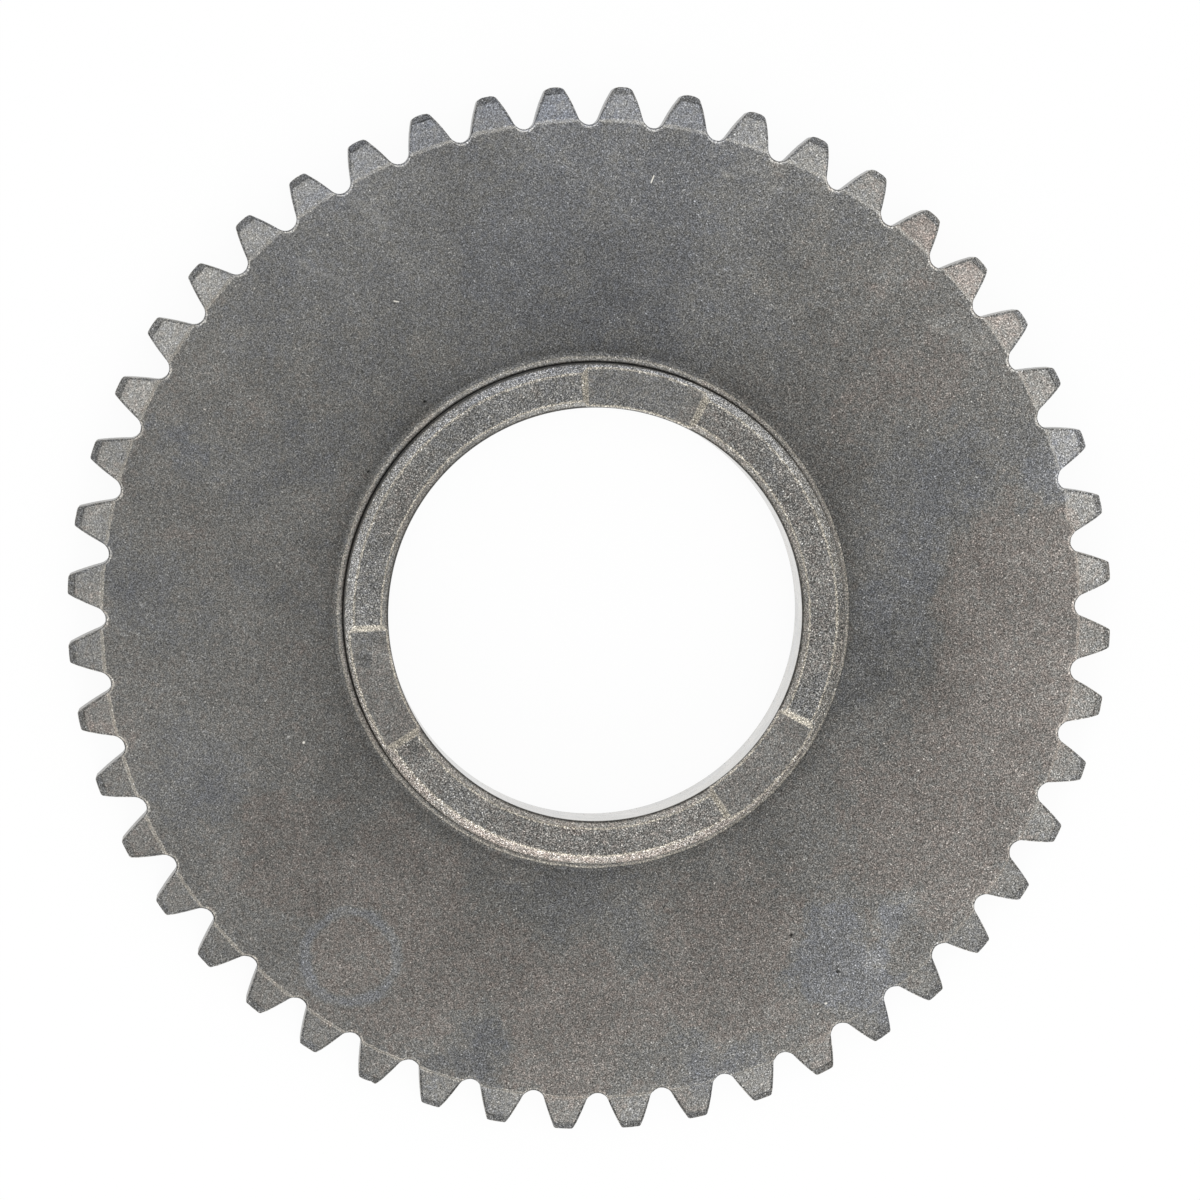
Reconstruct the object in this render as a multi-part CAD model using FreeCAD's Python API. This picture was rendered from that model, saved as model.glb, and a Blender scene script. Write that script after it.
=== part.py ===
import FreeCAD, Part
import math
import os

# Drive sprocket for an inverted-tooth (silent) chain: one solid steel disc.
# Millimetres. It lies on its flat back face at z = 0 with the hub ring upwards (+Z).
# The origin is where the bore axis meets the back face; the first tooth is centred on +X.

# Driving dimensions: chain and teeth
chain_pitch = 9.525
tooth_count = 48
tip_clearance_share = 0.08
tooth_depth = 5.34
root_arc_radius = 1.60
gap_side_angle = 21.9
flank_radius = 42.0
tip_corner_radius = 0.40
tooth_thickness = 5.00
tip_chamfer_width = 0.95
tip_chamfer_height = 0.60

# Driving dimensions: raised disc face
face_past_root = 0.46
face_rise = 0.70
face_edge_slope_width = 0.34

# Driving dimensions: hub ring, its bore and the bead round its foot
bore_radius = 28.70
bore_chamfer = 1.00
hub_wall = 6.10
hub_height = 5.50
hub_chamfer = 1.30
bead_width = 1.25
bead_crest_width = 0.35
bead_height = 0.45
bead_wall_height = 0.20

# Driving dimensions: three shallow notches across the hub ring
notch_count = 3
notch_first_angle = 73.6
notch_floor_angle = 28.0
notch_depth = 0.70
notch_ramp_run = 1.00

# Named clearances for the cutting shapes
cut_over = 1.00

# Derived sizes
half_step = math.radians(180.0 / tooth_count)
tip_radius = chain_pitch / 2 * (1 / math.tan(half_step) + tip_clearance_share)
root_radius = tip_radius - tooth_depth
face_radius = root_radius + face_past_root
face_z = tooth_thickness + face_rise
hub_radius = bore_radius + hub_wall
hub_top_z = face_z + hub_height


def polar(radius, angle):
    """The point of the XY plane at a radius and an angle in radians."""
    return FreeCAD.Vector(radius * math.cos(angle), radius * math.sin(angle), 0)


def unit(vector):
    """The same direction with length one."""
    return vector / vector.Length


def half_tooth():
    """Points of one side of a tooth centred on +X, from the gap's bottom to the tip's middle.

    The root is a full round. The flank is an arc that leaves the root tangentially and
    bulges outwards, and a corner arc touches both the flank and the tip circle.
    """
    lean = half_step - math.radians(gap_side_angle)
    to_tooth = FreeCAD.Vector(math.sin(lean), -math.cos(lean), 0)
    root_centre = polar(root_radius + root_arc_radius, half_step)
    flank_start = root_centre + to_tooth * root_arc_radius
    flank_centre = flank_start + to_tooth * flank_radius
    tip_reach = tip_radius - tip_corner_radius
    flank_reach = flank_radius - tip_corner_radius
    span = flank_centre.Length
    along = (tip_reach ** 2 - flank_reach ** 2 + span ** 2) / (2 * span)
    aside = math.sqrt(tip_reach ** 2 - along ** 2)
    axis = unit(flank_centre)
    corner_centre = axis * along + FreeCAD.Vector(-axis.y, axis.x, 0) * aside
    from_flank = unit(corner_centre - flank_centre)
    from_axis = unit(corner_centre)
    flank_end = flank_centre + from_flank * flank_radius
    flank_out = unit((flank_start + flank_end) / 2 - flank_centre)
    return {
        "root": polar(root_radius, half_step),
        "flank_start": flank_start,
        "flank_middle": flank_centre + flank_out * flank_radius,
        "flank_end": flank_end,
        "corner": corner_centre + unit(from_flank + from_axis) * tip_corner_radius,
        "tip_end": from_axis * tip_radius,
        "tip": polar(tip_radius, 0),
    }


def placed(point, side, step):
    """A point of the half tooth, mirrored for side -1 and turned to the given tooth."""
    turn = 2 * half_step * step
    x, y = point.x, point.y * side
    return FreeCAD.Vector(x * math.cos(turn) - y * math.sin(turn),
                          x * math.sin(turn) + y * math.cos(turn), 0)


def toothed_outline():
    """The closed outline of the whole toothed wheel, as arcs."""
    p = half_tooth()
    edges = []
    for step in range(tooth_count):
        low = {name: placed(point, -1, step) for name, point in p.items()}
        high = {name: placed(point, 1, step) for name, point in p.items()}
        after = placed(p["flank_start"], -1, step + 1)
        for start, middle, end in (
                (low["flank_start"], low["flank_middle"], low["flank_end"]),
                (low["flank_end"], low["corner"], low["tip_end"]),
                (low["tip_end"], low["tip"], high["tip_end"]),
                (high["tip_end"], high["corner"], high["flank_end"]),
                (high["flank_end"], high["flank_middle"], high["flank_start"]),
                (high["flank_start"], high["root"], after)):
            edges.append(Part.Arc(start, middle, end).toShape())
    return Part.Wire(edges)


def turned_blank():
    """The turned form: tooth band with its tip chamfer, disc face, foot bead, hub and bore."""
    over_height = cut_over * tip_chamfer_height / tip_chamfer_width
    outer = tip_radius + cut_over
    crest_z = face_z + bead_height
    crest_radius = hub_radius + (bead_width - bead_crest_width) / 2
    profile = [
        (bore_radius + bore_chamfer, 0),
        (outer, 0),
        (outer, tooth_thickness - tip_chamfer_height - over_height),
        (tip_radius - tip_chamfer_width, tooth_thickness),
        (face_radius + face_edge_slope_width, tooth_thickness),
        (face_radius, face_z),
        (hub_radius + bead_width, face_z),
        (crest_radius + bead_crest_width, crest_z),
        (crest_radius, crest_z),
        (hub_radius, face_z + bead_wall_height),
        (hub_radius, hub_top_z - hub_chamfer),
        (hub_radius - hub_chamfer, hub_top_z),
        (bore_radius + bore_chamfer, hub_top_z),
        (bore_radius, hub_top_z - bore_chamfer),
        (bore_radius, bore_chamfer),
    ]
    points = [FreeCAD.Vector(radius, 0, z) for radius, z in profile]
    face = Part.Face(Part.makePolygon(points + points[:1]))
    return face.revolve(FreeCAD.Vector(0, 0, 0), FreeCAD.Vector(0, 0, 1), 360)


def notch(angle):
    """A shallow trough across the hub ring with a radial, sloping ramp at each end."""
    half = math.radians(notch_floor_angle / 2)
    floor_z = hub_top_z - notch_depth
    over_run = notch_ramp_run * (1 + cut_over / notch_depth) / math.cos(half)
    ends = []
    for x in (bore_radius - cut_over, hub_radius + cut_over):
        floor_half = x * math.tan(half)
        top_half = floor_half + over_run
        ends.append([
            FreeCAD.Vector(x, -floor_half, floor_z),
            FreeCAD.Vector(x, floor_half, floor_z),
            FreeCAD.Vector(x, top_half, hub_top_z + cut_over),
            FreeCAD.Vector(x, -top_half, hub_top_z + cut_over),
        ])
    inner, outer = ends
    loops = [inner, outer]
    for corner in range(len(inner)):
        after = (corner + 1) % len(inner)
        loops.append([inner[corner], outer[corner], outer[after], inner[after]])
    sides = [Part.Face(Part.makePolygon(loop + loop[:1])) for loop in loops]
    trough = Part.Solid(Part.makeShell(sides))
    trough.rotate(FreeCAD.Vector(0, 0, 0), FreeCAD.Vector(0, 0, 1), angle)
    return trough


# Toothed wheel, cut to the turned form
wheel = Part.Face(toothed_outline()).extrude(FreeCAD.Vector(0, 0, hub_top_z + cut_over))
sprocket = wheel.common(turned_blank())

# Notches across the hub ring, evenly spaced
for number in range(notch_count):
    sprocket = sprocket.cut(notch(notch_first_angle + number * 360.0 / notch_count))

sprocket = sprocket.Solids[0]
os.makedirs("parts", exist_ok=True)
sprocket.exportStep("parts/drive_sprocket.step")

box = sprocket.BoundBox
print("valid", sprocket.isValid(), "faces", len(sprocket.Faces))
print("box mm %.3f %.3f %.3f" % (box.XLength, box.YLength, box.ZLength))
print("volume mm3 %.0f" % sprocket.Volume)
print("tip radius mm %.3f" % tip_radius)
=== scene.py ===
# %% [markdown]
# # Drive sprocket in blasted steel
# The object is one solid steel disc: a hub ring round a large bore, a wide flat disc, a raised
# edge, and forty-eight teeth for an inverted-tooth chain. It lies on its flat back.
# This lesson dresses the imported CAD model: it keeps the model's sizes and place, and adds what
# a flat CAD face can't give, which is softened edges, small damage, and a gritty grey skin.

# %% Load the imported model
import math

import bpy
import numpy as np
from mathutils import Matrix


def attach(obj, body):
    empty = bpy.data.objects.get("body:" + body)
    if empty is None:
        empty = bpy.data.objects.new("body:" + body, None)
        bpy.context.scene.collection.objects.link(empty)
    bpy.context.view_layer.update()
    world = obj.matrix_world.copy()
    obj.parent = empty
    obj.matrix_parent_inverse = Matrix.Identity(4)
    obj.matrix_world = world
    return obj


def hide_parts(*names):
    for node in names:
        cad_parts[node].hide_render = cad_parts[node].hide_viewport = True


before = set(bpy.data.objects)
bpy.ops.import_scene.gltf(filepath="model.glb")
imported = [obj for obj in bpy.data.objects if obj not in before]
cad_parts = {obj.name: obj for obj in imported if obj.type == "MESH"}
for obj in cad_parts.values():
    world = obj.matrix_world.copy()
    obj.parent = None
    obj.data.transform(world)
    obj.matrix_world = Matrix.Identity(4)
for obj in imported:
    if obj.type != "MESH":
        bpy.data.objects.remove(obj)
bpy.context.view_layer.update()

# %% [markdown]
# ## The sizes of the part
# A drawing of the part gives a few driving sizes, and all the others follow from them. They are
# in millimetres, as on a drawing, and the mesh is turned to metres once, at the end. The tip
# circle of an inverted-tooth sprocket follows from the chain's pitch and the number of teeth.

# %% Driving sizes in millimetres
metre = 0.001
chain_pitch = 9.525
tooth_count = 48
tip_clearance_share = 0.08
tooth_depth = 5.34
root_arc_radius = 1.60
gap_side_angle = math.radians(21.9)
flank_radius = 42.0
tip_corner_radius = 0.40
tooth_top = 5.00
bevel_width = 0.95
bevel_drop = 0.60
face_past_root = 0.46
face_rise = 0.70
face_slope_width = 0.34
bore_radius = 28.70
bore_chamfer = 1.00
hub_wall = 6.10
hub_height = 5.50
hub_chamfer = 1.30
bead_width = 1.25
bead_height = 0.45
groove_floor_rise = 0.08

half_step = math.pi / tooth_count
tip_radius = chain_pitch / 2 * (1 / math.tan(half_step) + tip_clearance_share)
root_radius = tip_radius - tooth_depth
face_radius = root_radius + face_past_root
face_top = tooth_top + face_rise
hub_radius = bore_radius + hub_wall
hub_top = face_top + hub_height
print("tip radius %.3f mm, root %.3f, disc %.3f" % (tip_radius, root_radius, face_radius))

# %% [markdown]
# ## The toothed outline as a radius for every angle
# Each half tooth is four arcs that touch: the gap's round bottom, the long flank, the small
# corner and the tip. They could be drawn as curves and extruded. Here a ray from the axis meets
# one circle after another, which gives the outline's radius at any angle, and that lets every
# ring of the mesh, from the bore to the teeth, share the same spokes.

# %% Centres of the four arcs, for a tooth centred on the X axis
lean = half_step - gap_side_angle
to_tooth = np.array([math.sin(lean), -math.cos(lean)])
gap_direction = np.array([math.cos(half_step), math.sin(half_step)])
root_centre = gap_direction * (root_radius + root_arc_radius)
flank_start = root_centre + to_tooth * root_arc_radius
flank_centre = flank_start + to_tooth * flank_radius
tip_reach = tip_radius - tip_corner_radius
flank_reach = flank_radius - tip_corner_radius
span = np.linalg.norm(flank_centre)
along_axis = (tip_reach ** 2 - flank_reach ** 2 + span ** 2) / (2 * span)
aside_axis = math.sqrt(tip_reach ** 2 - along_axis ** 2)
axis = flank_centre / span
corner_centre = axis * along_axis + np.array([-axis[1], axis[0]]) * aside_axis
from_flank = (corner_centre - flank_centre) / flank_reach
flank_end = flank_centre + from_flank * flank_radius
tip_end_angle = math.atan2(corner_centre[1], corner_centre[0])
flank_end_angle = math.atan2(flank_end[1], flank_end[0])
flank_start_angle = math.atan2(flank_start[1], flank_start[0])
print("half tooth in degrees: tip %.2f, corner to %.2f, flank to %.2f, gap to %.2f" % tuple(
    math.degrees(a) for a in (tip_end_angle, flank_end_angle, flank_start_angle, half_step)))


# %% Radius of the outline at any angle
def ray_to_circle(angle, centre, radius, side):
    """How far a ray from the axis goes before it meets a circle: the centre's distance along
    the ray, plus half the chord for the far side (side 1) or minus it for the near one (-1)."""
    along = centre[0] * np.cos(angle) + centre[1] * np.sin(angle)
    aside = centre[1] * np.cos(angle) - centre[0] * np.sin(angle)
    return along + side * np.sqrt(np.maximum(radius ** 2 - aside ** 2, 0))


def outline_radius(angle):
    """The toothed outline: fold the angle into half a tooth, then take the arc that rules there."""
    fold = np.abs((angle + half_step) % (2 * half_step) - half_step)
    corner = ray_to_circle(fold, corner_centre, tip_corner_radius, 1)
    flank = ray_to_circle(fold, flank_centre, flank_radius, 1)
    gap = ray_to_circle(fold, root_centre, root_arc_radius, -1)
    return np.select([fold < tip_end_angle, fold < flank_end_angle, fold < flank_start_angle],
                     [np.full_like(fold, tip_radius), corner, flank], gap)


print("outline at a tip and at a gap, in mm:", outline_radius(np.array([0.0, half_step])).round(3))

# %% [markdown]
# ## Spokes and notches
# A spoke is one angle at which the cross-section is drawn. Spokes crowd where the outline turns:
# round each gap and at each tooth corner. A few more stand at the ends of the three shallow
# notches, so that their ramps keep straight edges.

# %% Angles of the spokes
notch_count = 3
notch_first_angle = math.radians(73.6)
notch_floor_half = math.radians(14.0)
notch_depth = 0.70
notch_ramp_run = 1.00


def arc_angles(centre, radius, start, end, count):
    """Angles, seen from the axis, of points spread evenly on an arc from start towards end."""
    first = math.atan2(start[1] - centre[1], start[0] - centre[0])
    last = math.atan2(end[1] - centre[1], end[0] - centre[0])
    turn = (last - first + math.pi) % (2 * math.pi) - math.pi
    walk = first + turn * np.arange(count) / count
    return np.arctan2(centre[1] + radius * np.sin(walk), centre[0] + radius * np.cos(walk))


tip_spoke_share = 0.55
corner_spokes, flank_spokes, gap_spokes = 3, 5, 5
tip_end = corner_centre * tip_radius / tip_reach
gap_bottom = gap_direction * root_radius
half_tooth = np.concatenate([
    np.array([0.0, tip_end_angle * tip_spoke_share]),
    arc_angles(corner_centre, tip_corner_radius, tip_end, flank_end, corner_spokes),
    arc_angles(flank_centre, flank_radius, flank_end, flank_start, flank_spokes),
    arc_angles(root_centre, root_arc_radius, flank_start, gap_bottom, gap_spokes),
    np.array([half_step])])
one_tooth = np.concatenate([-half_tooth[:0:-1], half_tooth[:-1]])
teeth = 2 * half_step * np.arange(tooth_count)
notch_middles = notch_first_angle + 2 * math.pi / notch_count * np.arange(notch_count)
past_floor_edge = np.array([-0.004, 0.004, 0.012, 0.020, 0.028, 0.036])  # in radians
ramp_angles = notch_floor_half + past_floor_edge
ramp_angles = np.concatenate([-ramp_angles, ramp_angles])
spokes = np.concatenate([(teeth[:, None] + one_tooth).ravel(),
                         (notch_middles[:, None] + ramp_angles).ravel()])
spokes = np.unique(np.round(spokes % (2 * math.pi), 6))
print(len(spokes), "spokes")


# %% How deep the notch is at a spoke
def notch_share(angle, radius):
    """1 on a notch's floor and 0 on a land. Between them the depth falls with the distance
    from the floor's straight edge, softened at both ends of the ramp."""
    period = 2 * math.pi / notch_count
    from_middle = np.abs((angle - notch_first_angle + period / 2) % period - period / 2)
    past_floor = radius * np.sin(np.clip(from_middle - notch_floor_half, -0.5, 0.5))
    share = np.clip(1 - past_floor / notch_ramp_run, 0, 1)
    return 0.4 * share + 0.6 * share * share * (3 - 2 * share)


print("notch share on its floor and on a land:",
      notch_share(np.array([notch_first_angle, 0.0]), hub_radius))

# %% [markdown]
# ## Irregular edges
# The blank was forged and then blasted, so no edge is sharp and none is even. Damage could be
# sculpted by hand. Here a few sine waves with random phases, which close on themselves round
# the ring, move the edges by hundredths of a millimetre. The corners of the teeth are worn by up
# to 0.3 mm, most at the top of the picture, one tip and one flank are chipped, and each tooth
# gets its own tone.

# %% Seeded irregularity
def wander(angle, seed, slowest, fastest, count=24):
    """A smooth random number for every angle, about -1 to 1: the sum of sine waves that go
    round a whole number of times, with random phases from the seed."""
    dice = np.random.default_rng(seed)
    turns = dice.integers(slowest, fastest, count)
    phases = dice.uniform(0, 2 * math.pi, count)
    return np.sin(np.outer(angle, turns) + phases).sum(axis=1) / math.sqrt(count)


def per_tooth(angle, seed):
    """One random number from -1 to 1 for each tooth, given to every spoke on it."""
    tooth = np.round(angle / (2 * half_step)).astype(int) % tooth_count
    return np.random.default_rng(seed).uniform(-1, 1, tooth_count)[tooth]


def bump_at(angle, middle, width):
    """A smooth hump round the ring: 1 at the middle angle, falling away over the width."""
    off = (angle - middle + math.pi) % (2 * math.pi) - math.pi
    return np.exp(-(off / width) ** 2)


fine_waves = wander(spokes, 1, 300, 1400)
print("fine waves round the ring go from %.2f to %.2f" % (fine_waves.min(), fine_waves.max()))

# %% Wear and chips of the outline
# In the picture the X axis points 4.22 degrees above the right.
turn_view = math.radians(4.22)
picture_angle = spokes + turn_view


def facing(degrees, sharpness=1.0):
    """How much a spoke points towards a direction of the picture: a cosine from 0 to 1, raised
    to a power that narrows it."""
    return (0.5 + 0.5 * np.cos(picture_angle - math.radians(degrees))) ** sharpness


even_wear, least_corner_wear, top_corner_wear = 0.010, 0.03, 0.26
tip_chip_depth, flank_chip_depth = 0.16, 0.10
corner_reach = 0.007  # in radians, seen from the axis
edge_wear = even_wear * (1 + fine_waves).clip(0, 3)
from_tooth = np.abs((spokes + half_step) % (2 * half_step) - half_step)
near_corner = np.exp(-((from_tooth - flank_end_angle) / corner_reach) ** 2)
corner_wear = (least_corner_wear + top_corner_wear * facing(84, 6)) * near_corner
chipped_tip = tip_chip_depth * bump_at(spokes, math.radians(240.4), 0.006)
chipped_flank = flank_chip_depth * bump_at(spokes, math.radians(312.6), 0.003)
rim = outline_radius(spokes) - edge_wear - corner_wear - chipped_tip - chipped_flank
tiny = 1e-5
slope = (outline_radius(spokes + tiny) - outline_radius(spokes - tiny)) / (2 * tiny)
stretch = np.sqrt(1 + (slope / rim) ** 2)
print("outline wear up to %.3f mm" % (outline_radius(spokes) - rim).max())

# %% [markdown]
# ## The cross-section at every spoke
# The section is a closed chain of corners, from the bore's lower chamfer up, over the hub, out
# across the disc, down the tooth and back along the flat underside. Every corner is then
# rounded with a small arc. Each run between two corners is one made surface, so it carries its
# own finish, and each rounding says how much the blasting has bared it. The disc's edge also
# carries a painted highlight, and the bore's mouth and the bevel's start a thin line of painted
# shade.

# %% Corners of the section
section = []


def add_corner(name, radius, height, cut, samples, wear_and_painted_light, cut_after=None):
    """One corner at every spoke: its place, how far its rounding reaches back along the run
    before it and the run after it, how many rows draw it and how bare its metal is; at the disc's
    edge this also paints a highlight. Below zero it is a thin line of painted shade, which darkens the
    metal."""
    shape = np.zeros_like(spokes)
    section.append({
        "name": name,
        "place": np.stack([radius + shape, height + shape], axis=1),
        "cut": (cut + shape, (cut if cut_after is None else cut_after) + shape),
        "samples": samples,
        "wear_and_painted_light": wear_and_painted_light + shape,
    })


inner_share = notch_share(spokes, bore_radius + bore_chamfer)
outer_share = notch_share(spokes, hub_radius - hub_chamfer)
# A painted highlight on the notch ramps, strongest in the middle of each ramp.
ramp_highlight = (4 * outer_share * (1 - outer_share)) ** 0.2
land_wave = 0.03 * wander(spokes, 2, 20, 160)
inner_drop = notch_depth * inner_share + 0.01 + np.abs(land_wave)
outer_drop = notch_depth * outer_share + 0.01 + np.abs(land_wave)
bead_wave = 0.03 * wander(spokes, 3, 10, 60)

groove_gap, bead_side_width, bead_crest_place, bead_foot_spread = 0.02, 0.22, 0.85, 0.05
add_corner("bore foot", bore_radius, bore_chamfer, cut=0.20, samples=3, wear_and_painted_light=0.0)
# A thin line of painted shade runs round the bore's mouth.
add_corner("bore mouth", bore_radius, hub_top - bore_chamfer, cut=0.25, cut_after=0.55,
           samples=6, wear_and_painted_light=-0.95)
add_corner("hub inner edge", bore_radius + bore_chamfer - inner_drop, hub_top - inner_drop,
           cut=0.22 + 0.06 * wander(spokes, 4, 40, 300), samples=4, wear_and_painted_light=1.0)
add_corner("hub outer edge", hub_radius - hub_chamfer + outer_drop, hub_top - outer_drop,
           cut=0.26 + 0.08 * wander(spokes, 5, 40, 300), samples=4, wear_and_painted_light=1.0)
add_corner("hub shoulder", hub_radius, hub_top - hub_chamfer, cut=0.30, samples=4, wear_and_painted_light=0.35)
add_corner("groove", hub_radius + groove_gap, face_top + groove_floor_rise,
           cut=0.08, samples=3, wear_and_painted_light=0.0)
add_corner("bead inner side", hub_radius + bead_side_width, face_top + bead_height,
           cut=0.18, samples=4, wear_and_painted_light=0.2)
add_corner("bead crest", hub_radius + bead_crest_place + bead_wave, face_top + bead_height,
           cut=0.34, samples=5, wear_and_painted_light=0.5)
add_corner("bead foot", hub_radius + bead_width + bead_foot_spread + bead_wave, face_top,
           cut=0.34, samples=4, wear_and_painted_light=0.0)
print(len(section), "corners over the bore, the hub and its bead")

# %% Corners of the disc's edge, the teeth and the underside
face_wave = 0.035 * wander(spokes, 6, 40, 400) + 0.03 * wander(spokes, 7, 4, 16)
face_edge = face_radius + face_wave
# At the right the step is torn back, with a small swelling beside the tear.
torn_depth, swelling_share = 0.55, 0.4
torn_step = bump_at(spokes, math.radians(7.0), 0.02)
torn_step = torn_step - swelling_share * bump_at(spokes, math.radians(4.6), 0.02)
face_edge = face_edge - torn_depth * torn_step


def top_height(radius):
    """Height of the upper side outside the hub: disc, slope, tooth face, then the tip bevel."""
    down = np.clip((radius - face_edge) / face_slope_width, 0, 1) * face_rise
    past_bevel = np.clip(radius - (tip_radius - bevel_width), 0, bevel_width)
    return face_top - down - past_bevel * bevel_drop / bevel_width


edge_from_rim, foot_from_rim, bevel_from_rim = 0.36, 0.24, 0.27
edge_offset = bevel_from_rim * stretch
edge_a = np.minimum(face_edge, rim - edge_from_rim)
edge_b = np.minimum(face_edge + face_slope_width, rim - foot_from_rim)
edge_c = np.minimum(tip_radius - bevel_width, np.maximum(rim - edge_offset, (edge_b + rim) / 2))
# 0 in a gap, where the disc's edge meets the tooth edge, and 1 on a tooth.
on_tooth = np.clip((rim - face_edge - 0.3) / 0.6, 0, 1)
# The disc's edge is bared a little on each tooth, and towards the left it gets a painted highlight.
toward_left = 0.5 - 0.5 * np.cos(spokes)
add_corner("disc edge", edge_a, top_height(edge_a), cut=0.18 + 0.05 * wander(spokes, 8, 60, 500),
           samples=4, wear_and_painted_light=on_tooth * (0.15 + 0.5 * toward_left ** 6))
add_corner("step foot", edge_b, top_height(edge_b), cut=0.16, samples=3, wear_and_painted_light=0.1)
# A thin line of painted shade runs along the start of each tip bevel.
add_corner("bevel start", edge_c, top_height(edge_c), cut=0.16, samples=3,
           wear_and_painted_light=-0.30 - 0.25 * wander(spokes, 9, 20, 90))
add_corner("tooth edge", rim, top_height(rim), cut=0.12 * stretch, cut_after=0.14, samples=4,
           wear_and_painted_light=0.3)
add_corner("tooth back edge", rim, 0.0, cut=0.10, samples=3, wear_and_painted_light=0.3)
add_corner("back chamfer", bore_radius + bore_chamfer, 0.0, cut=0.15, samples=3, wear_and_painted_light=0.2)
print(len(section), "corners in all,", sum(corner["samples"] for corner in section), "rows")

# %% [markdown]
# ## Finish of each run
# Tooth faces are paler than the disc, and painted light makes them paler still on some sides of
# the ring, most of all at the upper right. The notch floors are smoother than the lands between
# them. The bore is turned smooth and the chain rubs the teeth's sides, so at a flat angle both
# mirror the white ground and nearly vanish. Each run gets a tone (how bright its grey is against
# the disc's), a warmth (brown against blue), a grit (how strongly the grain speckles it), how
# bare it is and how much painted highlight it has, and its polish. On the hub's chamfers, the
# bead, the disc's step, the tooth faces and the tip bevels the tone also carries painted light
# and shade that change round the ring. They could be painted by hand, but stored on the mesh
# they follow its surfaces.

# %% Finish of each run between corners
# Painted light on the tooth faces: their tone swings round the ring with the side of the picture they stand
# on.
painted_light_swing = 0.30 * np.cos(picture_angle - math.radians(58)) + 0.20 * np.sin(3 * picture_angle)
tooth_tone = 1.45 + painted_light_swing + 0.22 * facing(172, 6) - 0.12 * facing(320, 8)
tooth_tone = tooth_tone - 0.30 * facing(45, 24) + 0.10 * per_tooth(spokes, 11)
tooth_warmth = 0.65 * facing(45, 24) - 0.3 * facing(0, 8) - 0.4 * facing(90, 12)
tooth_warmth = tooth_warmth + 0.15 * per_tooth(spokes, 12)
finish = {
    # run that starts at this corner: tone, warmth, grit, bareness and highlight, polish
    "bore foot": (3.2, 0.0, 0.2, 0.0, 1.0),
    # Inner chamfer: painted light round the ring, paler at the bottom, the lower right and the top.
    "bore mouth": (1.50 + 0.5 * facing(280, 2) + 0.5 * facing(315, 8) - 0.2 * facing(0, 8)
                   + 0.46 * facing(85, 8), 0.2, 1.1, 0.1, 0.0),
    # Hub land: the notch ramps get a painted highlight, paler and beige.
    "hub inner edge": (1.18 + 0.08 * facing(315, 8) + 0.25 * ramp_highlight, 0.1, 1.4 - 0.4 * outer_share,
                       ramp_highlight, 0.0),
    # Outer chamfer: painted light and a painted colour of reflection round the ring, paler and warmer at
    # the bottom, bluer at the top, darker at the right.
    "hub outer edge": (2.0 + 0.42 * facing(280, 8) - 0.85 * facing(0, 10) + 0.7 * facing(52, 8)
                       + 0.34 * facing(172, 8), 0.1 + 0.6 * facing(260, 2) - 0.7 * facing(105, 2),
                       1.6, 0.15, 0.0),
    "hub shoulder": (0.85, 0.0, 0.8, 0.0, 0.0),
    "groove": (0.85, 0.1, 0.5, 0.0, 0.0),
    # The bead: a painted highlight towards the upper left, and painted shade on its crest towards the
    # bottom.
    "bead inner side": (1.80 + 1.0 * facing(125, 2), 0.2, 1.0, 0.1, 0.0),
    "bead crest": (1.15 + 0.8 * facing(125, 2) - 0.3 * facing(285, 2), 0.0, 1.1, 0.0, 0.0),
    "bead foot": (1.00, 0.0, 1.0, 0.0, 0.0),
    # The disc's step: painted light round the ring, paler at the left, the upper right and the top, darker
    # at the bottom, with a painted beige highlight at the lower left.
    "disc edge": (2.2 + 0.8 * facing(195, 10) + 1.0 * facing(50, 6) + 0.7 * facing(112, 10)
                  - 0.9 * facing(265, 4), 0.1, 0.9, 0.2 + 0.35 * facing(205, 6), 0.0),
    "step foot": (tooth_tone, tooth_warmth, 0.95, 0.0, 0.0),
    # Tip bevels: painted shade, darkest at the bottom, a little at the top and the lower right.
    "bevel start": (1.06 - 0.10 * facing(92, 10) - 0.52 * facing(265, 5) - 0.10 * facing(320, 8),
                    -0.3, 1.3, 0.0, 0.0),
    "tooth edge": (1.5, 0.0, 0.6, 0.0, 0.6),
    "tooth back edge": (1.0, 0.0, 1.0, 0.0, 0.0),
    "back chamfer": (1.0, 0.0, 1.0, 0.0, 0.3),
}
print(len(finish), "finished runs")


# %% Round the corners and lay the rows
def directions(vectors):
    """Each row's direction, and its length."""
    length = np.maximum(np.linalg.norm(vectors, axis=1, keepdims=True), 1e-9)
    return vectors / length, length[:, 0]


def run_finish(name):
    """The finish after a corner as five numbers for every spoke."""
    return np.stack([value + np.zeros_like(spokes) for value in finish[name]], axis=1)


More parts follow.
